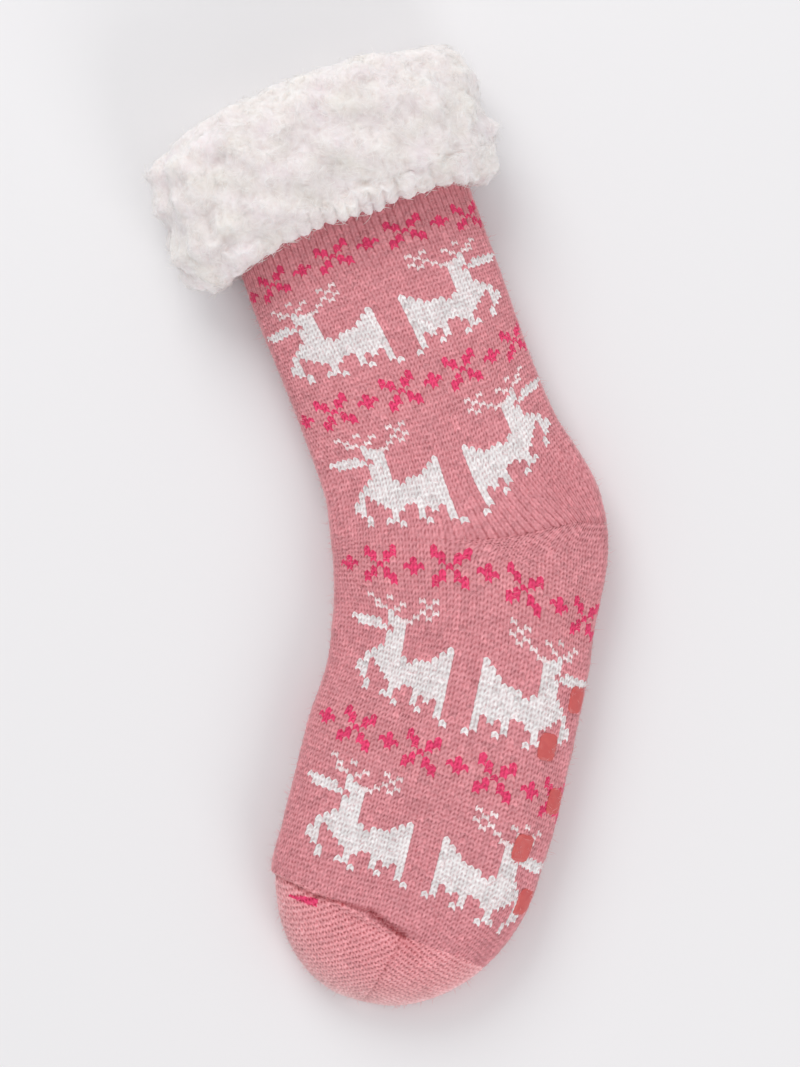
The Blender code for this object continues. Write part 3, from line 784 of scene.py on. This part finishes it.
def close_tube():
    """The grid's side edges, poles and rows without height merge, and its faces turn outwards."""
    bpy.ops.object.mode_set(mode="EDIT")
    bpy.ops.mesh.select_all(action="SELECT")
    bpy.ops.mesh.remove_doubles(threshold=MERGE_WITHIN)
    bpy.ops.mesh.normals_make_consistent(inside=False)
    bpy.ops.object.mode_set(mode="OBJECT")
    bpy.ops.object.shade_smooth()


def knit_piece(name, places, dyes_and_painted_light, light):
    """One stretch of the knit, painted light for each point and a dye, with any painted glow, for each
    face.
    """
    piece = lay_grid(name, places)
    mesh = piece.data
    corner = np.empty(len(mesh.loops), int)
    mesh.loops.foreach_get("vertex_index", corner)
    colours = np.repeat(dyes_and_painted_light.reshape(-1, 4), 4, axis=0)
    # the painted light and shade multiply the dye, as strongly as its fourth value says
    colours[:, :3] *= 1 - (1 - light.reshape(-1)[corner][:, None]) * colours[:, 3:] * HOLE_SHADE_TINT
    colours[:, 3] = 1
    dye_and_painted_light = mesh.color_attributes.new("dye_and_painted_light", "FLOAT_COLOR", "CORNER")
    dye_and_painted_light.data.foreach_set("color", np.clip(colours, 0, 1).reshape(-1))
    close_tube()
    mesh.materials.append(YARN)
    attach(piece, "root")
    piece.select_set(False)
    mesh.calc_loop_triangles()
    print(name, len(mesh.loop_triangles), "triangles")
    return piece


# %% Knit the leg and the foot
last = LEG_ROWS - 1
knit_leg = knit_piece("knit_leg", STITCHES[:last + 1], STITCH_DYES[:last], PAINTED_LIGHT[:last + 1])
knit_foot = knit_piece("knit_foot", STITCHES[last:], STITCH_DYES[last:], PAINTED_LIGHT[last:])

# %% [markdown]
# The toe pocket turns the knitting round the tip. The wales of its two halves run along the two
# edges of the foot and meet in a mitre down the middle of the side. Rows of the foot's mesh can't
# turn like that without breaking up. So this mesh is a fine even one, the same holes and legs are
# pressed into it, and their rows are counted straight along the wales of each half. A short bar of
# crimson yarn is caught in at the start of the seam.

# %% Sizes, dyes and painted light of the toe
TOE_FINER, TOE_ROWS = 2, 120
TOE_COLUMNS = TOE_FINER * WALES * PART_OF_WALE
TOE_WALE, TOE_COURSE_HEIGHT = 0.0033, 0.0026
TOE_WALES_WAY = (math.radians(-63), math.radians(-136))
ROUND_RIM = 0.7  # how far the rows run on as the fabric turns down over the rim
HOLE_WIDE, HOLE_LONG, STROKES = 0.17, 0.25, 0.32
MITRE = ((0.380, 0.407, 0.416), (0.0070, -0.0015, -0.0050))  # stations, and how far off the centre
# MITRE_DARK is painted shade along the mitre's dip.
MITRE_START, MITRE_FADE, MITRE_WIDTH, MITRE_DEEP, MITRE_DARK = 0.376, 0.006, 0.0010, 0.0005, 0.15
TIP_BLUNT, SEAM_BLUNT = 0.0015, 0.0012
# TOE_DEPTH deepens the painted shade in the toe's holes.
TOE_PINK, TOE_DEPTH = srgb(243, 164, 170), 1.35
# A painted pale glow on the toe's lower rim, for sheen and fuzz catching the light, fading up to
# RIM_HEIGHT.
RIM_PAINTED_GLOW, RIM_HEIGHT = srgb(255, 216, 216), 0.031
BAR_FROM, BAR_TO, BAR_WIDTH, BAR_LEVEL = (-0.0372, -0.1583), (-0.0246, -0.1614), 0.0017, 0.01
print("toe mesh", TOE_ROWS, "by", TOE_COLUMNS)


# %% Rows and holes of the toe
def toe_grid():
    """The stations, points and outward directions of the toe's mesh, and how far off the mitre."""
    wale = np.arange(TOE_COLUMNS + 1) * WALES / TOE_COLUMNS
    finer = np.arange(TOE_COLUMNS + 1) / TOE_FINER
    start = np.interp(finer, np.arange(len(TOE_LENGTH)), TOE_LENGTH)
    station = np.empty((TOE_ROWS + 1, TOE_COLUMNS + 1))
    for m in range(TOE_COLUMNS + 1):
        down = LENGTH_DOWN[:, m // TOE_FINER]
        goal = start[m] + (down[-1] - start[m]) * np.linspace(0, 1, TOE_ROWS + 1)
        station[:, m] = np.interp(goal, down, GRID_S)
    grid_wale = np.broadcast_to(wale, station.shape)
    places, facing = on_chart(CHART, station, grid_wale), on_chart(FACING, station, grid_wale)
    centre, way = centre_line(station)
    to_back = np.stack((-way[..., 1], way[..., 0]), -1)
    off_centre = ((places[..., :2] - SHIFT[:2] - centre) * to_back).sum(-1)
    return station, places, facing, off_centre - np.interp(station, *MITRE)


def stitch_hole(across, down):
    """1 in the middle of a hole, fading with the distance from it in stitches."""
    return np.exp(-((across / HOLE_WIDE) ** 2 + (down / HOLE_LONG) ** 2))


def toe_stitches(places, off_mitre):
    """How high the yarn stands at each point of the toe, and a number for the point's stitch."""
    relief, number = np.ones(off_mitre.shape), np.zeros(off_mitre.shape, int)
    for side, angle in zip((-1, 1), TOE_WALES_WAY):
        along = np.array((math.cos(angle), math.sin(angle)))
        aside = np.array((-along[1], along[0])) * np.sign(-along[1])
        count = (places[..., :2] @ aside - side * ROUND_RIM * places[..., 2]) / TOE_WALE
        down = (places[..., :2] @ along - ROUND_RIM * places[..., 2]) / TOE_COURSE_HEIGHT
        down = down + ZIGZAG / TOE_COURSE_HEIGHT * np.cos(2 * math.pi * count)
        edge_hole = stitch_hole(np.mod(count + 0.5, 1) - 0.5, np.mod(down + 0.5, 1) - 0.5)
        leg_hole = stitch_hole(np.mod(count, 1) - 0.5, np.mod(down, 1) - 0.5)
        staggered = down - 0.5 * np.floor(2 * count)
        strokes = STROKES * np.cos(4 * math.pi * count) * np.cos(2 * math.pi * staggered)
        mine = off_mitre * side > 0
        relief[mine] = (1 - edge_hole - leg_hole + strokes)[mine]
        number[mine] = (np.floor(count) * 131 + np.floor(down) * 17 + 5 * side)[mine].astype(int)
    return relief, number


# %% Knit the toe
def in_bar(points):
    """Where the crimson bar lies: a slim lens beside the seam, on the side that shows."""
    start, way = np.array(BAR_FROM), np.array(BAR_TO) - np.array(BAR_FROM)
    off = points[..., :2] - start
    share = (off * way).sum(-1) / (way @ way)
    far = np.linalg.norm(off - share[..., None] * way, axis=-1)
    wide = BAR_WIDTH * np.sqrt(np.clip(share * 1.4, 0.1, 1))
    return (share > 0) & (share < 1) & (far < wide) & (points[..., 2] > BAR_LEVEL)


def toe_pocket():
    station, places, facing, off_mitre = toe_grid()
    relief, number = toe_stitches(places, off_mitre)
    chance = np.random.default_rng(13).standard_normal(relief.shape)
    chance[:, -1] = chance[:, 0]
    relief = np.clip(relief + UNEVEN * chance, LEAST_RELIEF, MOST_RELIEF)
    on_mitre = np.exp(-((off_mitre / MITRE_WIDTH) ** 2)) * smooth_step((station - MITRE_START) / MITRE_FADE)
    blunt = smooth_step((SOCK_RUN - station) / TIP_BLUNT) * smooth_step((station - station[0]) / SEAM_BLUNT)
    high = (STITCH_HIGH * (relief - MEAN_RELIEF) - MITRE_DEEP * on_mitre) * blunt
    places = places + facing * high[..., None]
    places[..., 2] = np.maximum(places[..., 2], 0.0)
    painted_crease_shade = dent(places)[1] * (facing[..., 2] > 0)
    # painted shade in the holes, along the mitre and in the creases, and painted highlight on the tops
    light = 1 - TOE_DEPTH * (1 - DARKEST - (LIGHTEST - DARKEST) * relief)
    light = light * (1 - MITRE_DARK * on_mitre) * (1 - painted_crease_shade)
    shades = 1 + DYE_UNEVEN * np.random.default_rng(11).standard_normal(DRAWS)
    faces, upward = places[:-1, :-1], facing[:-1, :-1, 2:]
    # painted pale glow low on the toe, on faces that don't turn down
    painted_rim_glow = smooth_step(1 - faces[..., 2:] / RIM_HEIGHT) * smooth_step(4 * upward + 0.5)
    dyes_and_painted_light = np.array(TOE_PINK) * (1 - painted_rim_glow) + np.array(RIM_PAINTED_GLOW) * painted_rim_glow
    dyes_and_painted_light[in_bar(faces)] = DYES[CRIMSON]
    dyes_and_painted_light[..., :3] *= shades[np.mod(number[:-1, :-1], DRAWS)][..., None]
    return knit_piece("knit_toe", places, dyes_and_painted_light, light)


knit_toe = toe_pocket()
for piece in (knit_leg, knit_foot, knit_toe):
    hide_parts("knit_sock")

# %% [markdown]
# The cuff is curly fleece, a deep warm-white pile. Hair particles could grow it, but they aren't part
# of a mesh, and its look is more of lumps than of single hairs. Its CAD solid already has the right
# bulk. So a copy of it is remeshed finely, its hem is drawn out into finger-like tufts, and noise
# along its normals works it up into clumps and curls. The material scatters light below its
# surface, as pile does, and varies a little in tone.

# %% Fleece
def fleece_material():
    made, shader, place = new_material("white_fleece_pile", 0.95)
    tone = ((speckle(place, 70.0, 2.0) - 0.5) * 2.4 + 0.5).clamp()
    dim = tone.tint(srgb(231, 221, 222), srgb(230, 224, 218))
    bright = tone.tint(srgb(248, 241, 242), srgb(248, 244, 240))
    plug(shader, "Base Color", speckle(place, 330.0, 5.0, 1.5).tint(dim, bright))
    fine = speckle(place, 520.0, 5.0, 2.0)
    bump = place.node("ShaderNodeBump", {"Height": fine, "Strength": 0.7, "Distance": 0.0008})
    plug(shader, "Normal", bump)
    shader.inputs["Sheen Weight"].default_value = 0.5
    shader.inputs["Subsurface Weight"].default_value = 1.0
    shader.inputs["Subsurface Radius"].default_value = (1.0, 0.95, 0.92)
    shader.inputs["Subsurface Scale"].default_value = 0.006
    shader.inputs["Specular IOR Level"].default_value = 0.1
    return made


FLEECE = fleece_material()

# %% The cuff's corner and hem
CORNER_TUCK, HEM_RAISE, HEM_RAISE_BY_HEEL = 0.0050, 0.0028, 0.0032
CORNER_ACROSS, CORNER_ALONG = (0.040, 0.030), (0.010, 0.040)  # where it starts, and over what length
HEM_ALONG, HEEL_ACROSS = (0.052, 0.012), (0.005, 0.035)
FINGER_WIDTH, FINGER_LENGTH, FINGER_LEVEL, FINGER_SHARP = 0.0066, 0.0032, 0.7, 0.6
FINGER_SWAY, SWAY_LENGTH, FINGER_CHANGE, CHANGE_LENGTH = 1.6, 0.013, 0.35, 0.019


def past(value, edge):
    start, length = edge
    return smooth_step((value - start) / length)


def trim_cuff(co):
    """The cuff's corner by the heel is tucked in, and its hem ends in finger-like tufts."""
    way = np.array((math.sin(LEG_LEAN), -math.cos(LEG_LEAN)))
    to_back = np.array((-way[1], way[0]))
    middle = centre_line(np.array(0.0))[0] + SHIFT[:2]
    along, across = (co[:, :2] - middle) @ way, (co[:, :2] - middle) @ to_back
    tucked = -CORNER_TUCK * (past(across, CORNER_ACROSS) * past(along, CORNER_ALONG))
    sway = FINGER_SWAY * np.sin(across / SWAY_LENGTH)
    finger = np.abs(np.sin(math.pi * across / FINGER_WIDTH + sway)) ** FINGER_SHARP - FINGER_LEVEL
    finger = finger * (1 - FINGER_CHANGE + FINGER_CHANGE * np.sin(across / CHANGE_LENGTH + 1.0))
    raised = HEM_RAISE + HEM_RAISE_BY_HEEL * past(across, HEEL_ACROSS)
    hanging = (FINGER_LENGTH * finger - raised) * past(along, HEM_ALONG)
    moved = co.copy()
    moved[:, :2] += tucked[:, None] * to_back + hanging[:, None] * way
    return moved


# %% Clumps and curls of the pile
SWIRL, CLUMP, CURL, GRAIN = (0.011, 0.0030), (0.0105, 0.0017), (0.0042, 0.0011), (0.0018, 0.0004)
SWIRL_APART = (9.3, 31.7, 58.1)  # noise that is read this far apart gives three unlike values
CURL_LEVEL = 0.3


def swirl_at(p):
    """A push that changes softly from place to place. noise_vector would differ on each run."""
    return Vector([noise.noise(p + Vector((far, -far, far))) for far in SWIRL_APART])


def lumps_at(co):
    """How far each point of the pile stands out. Each kind of lump has a period and a height."""
    lumps = np.empty(len(co))
    for k, point in enumerate(co):
        p = Vector(point)
        swirled = p + SWIRL[1] * swirl_at(p / SWIRL[0])
        clump = noise.noise(swirled / CLUMP[0])
        curl = 0.5 - abs(noise.noise(swirled / CURL[0]))
        grain = noise.noise(p / GRAIN[0])
        lumps[k] = CLUMP[1] * clump + CURL[1] * (curl - CURL_LEVEL) + GRAIN[1] * grain
    return lumps


def points_and_normals(mesh):
    co, facing = np.empty(len(mesh.vertices) * 3), np.empty(len(mesh.vertices) * 3)
    mesh.vertices.foreach_get("co", co)
    mesh.vertices.foreach_get("normal", facing)
    return co.reshape(-1, 3), facing.reshape(-1, 3)


# %% Fleece cuff
def fleece_cuff():
    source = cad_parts["fleece_cuff"]
    piece = source.copy()
    piece.data = source.data.copy()
    piece.name = piece.data.name = "fleece_pile"
    bpy.context.scene.collection.objects.link(piece)
    piece.hide_render = piece.hide_viewport = False
    bpy.context.view_layer.objects.active = piece
    piece.select_set(True)
    bpy.ops.object.mode_set(mode="EDIT")
    bpy.ops.mesh.select_all(action="SELECT")
    bpy.ops.mesh.remove_doubles(threshold=0.00001)
    bpy.ops.object.mode_set(mode="OBJECT")
    remesh = piece.modifiers.new("even", "REMESH")
    remesh.mode, remesh.voxel_size = "VOXEL", 0.0009
    bpy.ops.object.modifier_apply(modifier=remesh.name)
    mesh = piece.data
    mesh.shade_smooth()
    co, facing = points_and_normals(mesh)
    co = trim_cuff(co)
    moved = co + facing * lumps_at(co)[:, None]
    moved[:, 2] = np.maximum(moved[:, 2], 0.0)
    mesh.vertices.foreach_set("co", moved.reshape(-1))
    mesh.update()
    mesh.materials.clear()
    mesh.materials.append(FLEECE)
    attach(piece, "root")
    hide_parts("fleece_cuff")
    piece.select_set(False)
    mesh.calc_loop_triangles()
    print("fleece_pile", len(mesh.loop_triangles), "triangles")
    return piece


fleece_pile = fleece_cuff()

# %% [markdown]
# The same fleece lines the sock, as its mouth shows. It could be the pile's mesh carried on inwards,
# but it lies flatter there and nobody sees it up close. So the lining is one closed shell laid as
# the knit is: its outer skin follows the knit from the toe to the mouth, turns in there, and its
# lumpy inner skin goes back.

# %% Fleece lining
LINING_GAP, LINING_PILE, LINING_LUMP, LUMP_SIZE = 0.0038, 0.0026, 0.0011, 0.006
LINING_START, LINING_STEP, LINING_SHORT = 0.016, 0.0035, 0.008


def line_with_fleece():
    stations = np.arange(LINING_START, SOCK_RUN - LINING_SHORT, LINING_STEP)
    grid_s, grid_w = np.meshgrid(stations, np.arange(WALES + 1.0), indexing="ij")
    places, facing = on_chart(CHART, grid_s, grid_w), on_chart(FACING, grid_s, grid_w)
    lump = np.array([noise.noise(Vector(q) / LUMP_SIZE) for q in places.reshape(-1, 3)])
    lump = lump.reshape(grid_s.shape)
    lump[:, -1] = lump[:, 0]
    outer = places - facing * LINING_GAP
    inner = places - facing * (LINING_GAP + LINING_PILE + LINING_LUMP * lump)[..., None]
    poles = [np.broadcast_to(skin[-1].mean(0), skin[-1:].shape) for skin in (outer, inner)]
    piece = lay_grid("fleece_lining", np.concatenate((poles[0], outer[::-1], inner, poles[1])))
    close_tube()
    piece.data.materials.append(FLEECE)
    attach(piece, "root")
    piece.select_set(False)
    print("fleece_lining", len(piece.data.vertices), "points")
    return piece


fleece_lining = line_with_fleece()

# %% [markdown]
# Loose fibres make both fabrics soft: long curly ones lie over the fleece, and short fine ones stand
# off the knit, where they blur its outline. Hair strands would be quick, but they don't export as a
# mesh. So each is a slim closed spindle of a few faces, and all of one kind are built together as
# one mesh from arrays, because modelling and copying thousands by hand would take minutes.


# %% Fibres
FIBRE_FLOOR = 0.0002
SIDES = 3


def spindle_faces(rings):
    """The triangles of one fibre: a tip, rings of SIDES points and a tip."""
    first, last = 1, 1 + SIDES * (rings - 1)
    turns = [(c, (c + 1) % SIDES) for c in range(SIDES)]
    faces = [(0, first + after, first + c) for c, after in turns]
    for ring in range(rings - 1):
        low = first + SIDES * ring
        for c, after in turns:
            a, b = low + c, low + after
            faces += [(a, b, b + SIDES), (a, b + SIDES, a + SIDES)]
    return faces + [(last + SIDES, last + c, last + after) for c, after in turns]


def spindles(name, roots, ways, bends, lengths, radius, rings, material):
    """One mesh of slim curved fibres, each from its root along its way, bent by its bend."""
    count = len(roots)
    share = np.linspace(0, 1, rings + 2)[None, :, None]
    line = roots[:, None] + lengths[:, None, None] * (ways[:, None] * share + bends[:, None] * share**2)
    side = np.cross(ways, bends + (0.01, 0.02, 0.03))
    side /= np.linalg.norm(side, axis=1, keepdims=True)
    other = np.cross(ways, side)
    points = [line[:, :1]]
    for ring in range(1, rings + 1):
        for corner in range(SIDES):
            turn = 2 * math.pi * corner / SIDES
            out = math.cos(turn) * side + math.sin(turn) * other
            points.append((line[:, ring] + radius * out)[:, None])
    points.append(line[:, -1:])
    places = np.concatenate(points, 1)
    places[..., 2] = np.maximum(places[..., 2], FIBRE_FLOOR)
    per = places.shape[1]
    corners = (np.array(spindle_faces(rings))[None] + per * np.arange(count)[:, None, None]).reshape(-1)
    mesh = bpy.data.meshes.new(name)
    mesh.vertices.add(count * per)
    mesh.vertices.foreach_set("co", places.reshape(-1))
    mesh.loops.add(len(corners))
    mesh.loops.foreach_set("vertex_index", corners)
    mesh.polygons.add(len(corners) // 3)
    mesh.polygons.foreach_set("loop_start", np.arange(0, len(corners), 3))
    mesh.update(calc_edges=True)
    mesh.shade_smooth()
    mesh.materials.append(material)
    piece = bpy.data.objects.new(name, mesh)
    bpy.context.scene.collection.objects.link(piece)
    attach(piece, "root")
    print(name, count, "fibres,", len(corners) // 3, "triangles")
    return piece


def fibre_material(name, colour):
    made, shader, place = new_material(name, 0.9)
    pale = tuple(min(1.0, 1.12 * v) for v in colour[:3]) + (1.0,)
    plug(shader, "Base Color", speckle(place, 300.0, 2.0).tint(colour, pale))
    shader.inputs["Specular IOR Level"].default_value = 0.1
    return made


# %% Curls on the cuff
CURLS, CURL_LENGTH, CURL_RADIUS = 10500, 0.0052, 0.00011
CURL_LIFT, CURL_BEND, CURL_DROP = 0.30, 0.9, 0.32
CURL_ROOT, CURL_FLOOR = 0.0003, 0.0004


def cuff_curls():
    random = np.random.default_rng(21)
    co, facing = points_and_normals(fleece_pile.data)
    pick = random.choice(len(co), CURLS, replace=False)
    roots, facing = co[pick], facing[pick]
    loose = random.standard_normal((CURLS, 3))
    flat = unit(loose - (loose * facing).sum(1, keepdims=True) * facing)
    ways = unit(flat + CURL_LIFT * facing)
    sideways = random.uniform(-CURL_BEND, CURL_BEND, (CURLS, 1))
    bends = np.cross(facing, flat) * sideways - CURL_DROP * facing
    lengths = CURL_LENGTH * random.uniform(0.6, 1.3, CURLS)
    material = fibre_material("fleece_fibres", srgb(243, 240, 238))
    roots = roots - CURL_ROOT * facing
    roots[:, 2] = np.maximum(roots[:, 2], CURL_FLOOR)
    return spindles("fleece_curls", roots, ways, bends, lengths, CURL_RADIUS, 3, material)


fleece_curls = cuff_curls()

# %% Fuzz on the knit
HAIRS, HAIR_LENGTH, HAIR_RADIUS = 15500, 0.0023, 0.00006
HAIRS_FROM, HAIRS_SHORT, HAIR_FLOOR = 0.060, 0.002, 0.0003
HAIR_LEAN, HAIR_BEND = 0.8, 0.5


def knit_hairs():
    random = np.random.default_rng(22)
    station = random.uniform(HAIRS_FROM, SOCK_RUN - HAIRS_SHORT, HAIRS)
    wale = random.uniform(0, WALES, HAIRS)
    roots, facing = on_chart(CHART, station, wale), unit(on_chart(FACING, station, wale))
    ways = unit(facing + HAIR_LEAN * random.standard_normal((HAIRS, 3)))
    ways = np.where((ways * facing).sum(1, keepdims=True) < 0, -ways, ways)
    bends = HAIR_BEND * random.standard_normal((HAIRS, 3))
    lengths = HAIR_LENGTH * random.uniform(0.5, 1.2, HAIRS)
    roots[:, 2] = np.maximum(roots[:, 2], HAIR_FLOOR)
    material = fibre_material("yarn_fuzz", srgb(232, 176, 180))
    return spindles("knit_fuzz", roots, ways, bends, lengths, HAIR_RADIUS, 2, material)


knit_fuzz = knit_hairs()

# %% [markdown]
# The grips are soft coral rubber, printed hot on the sole. Their CAD solids already have the right
# size and thickness, so they keep their shape and only get a finish: half matt, a little see-through
# as thin rubber is, and faintly cloudy where it has soaked into the yarn.


# %% Rubber grips
def rubber_material():
    made, shader, place = new_material("coral_rubber_print", 0.38)
    cloud = speckle(place, 350.0, 2.0)
    plug(shader, "Base Color", cloud.tint(srgb(206, 82, 84), srgb(226, 108, 102)))
    shader.inputs["Alpha"].default_value = 0.80
    return made


RUBBER = rubber_material()
for name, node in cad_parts.items():
    if name.startswith("grip_"):
        for place in range(len(node.material_slots)):
            node.material_slots[place].material = RUBBER

# %% [markdown]
# The floor is a plain pale sheet. One hard lamp would throw a dark edge on it that the photograph
# doesn't have, so the light is a bright even surround and two wide soft lamps. The main one stands
# beyond the cuff, so that the floor round the cuff stays clear and a soft shade lies in the bend
# beside the leg. A weaker one from the other end lights the rim of the toe.

# %% Floor and light
def floor_sheet():
    bpy.ops.mesh.primitive_plane_add(size=8.0, location=(0, 0, -0.0005))
    floor = bpy.context.object
    floor.name = "floor"
    made, shader, place = new_material("pale_floor", 0.9)
    shader.inputs["Base Color"].default_value = (0.84, 0.835, 0.845, 1.0)
    floor.data.materials.append(made)
    floor.select_set(False)


def soft_lamp(name, place, size, power):
    bpy.ops.object.light_add(type="AREA", location=place)
    lamp = bpy.context.object
    lamp.name = name
    lamp.data.shape, lamp.data.size = "DISK", size
    lamp.data.energy = power
    aim = Vector((0, 0, 0)) - Vector(place)
    lamp.rotation_euler = aim.to_track_quat("-Z", "Y").to_euler()
    print("lamp", name, power, "W")


floor_sheet()
soft_lamp("window", (-0.67, 1.65, 1.4), 1.4, 21.0)
soft_lamp("fill", (1.09, -1.56, 1.2), 1.2, 13.0)
world = bpy.data.worlds.new("surround")
world.use_nodes = True
bpy.context.scene.world = world
world.node_tree.nodes["Background"].inputs["Color"].default_value = (1.0, 0.99, 1.0, 1.0)
world.node_tree.nodes["Background"].inputs["Strength"].default_value = 0.66
bpy.context.scene.view_settings.view_transform = "Standard"
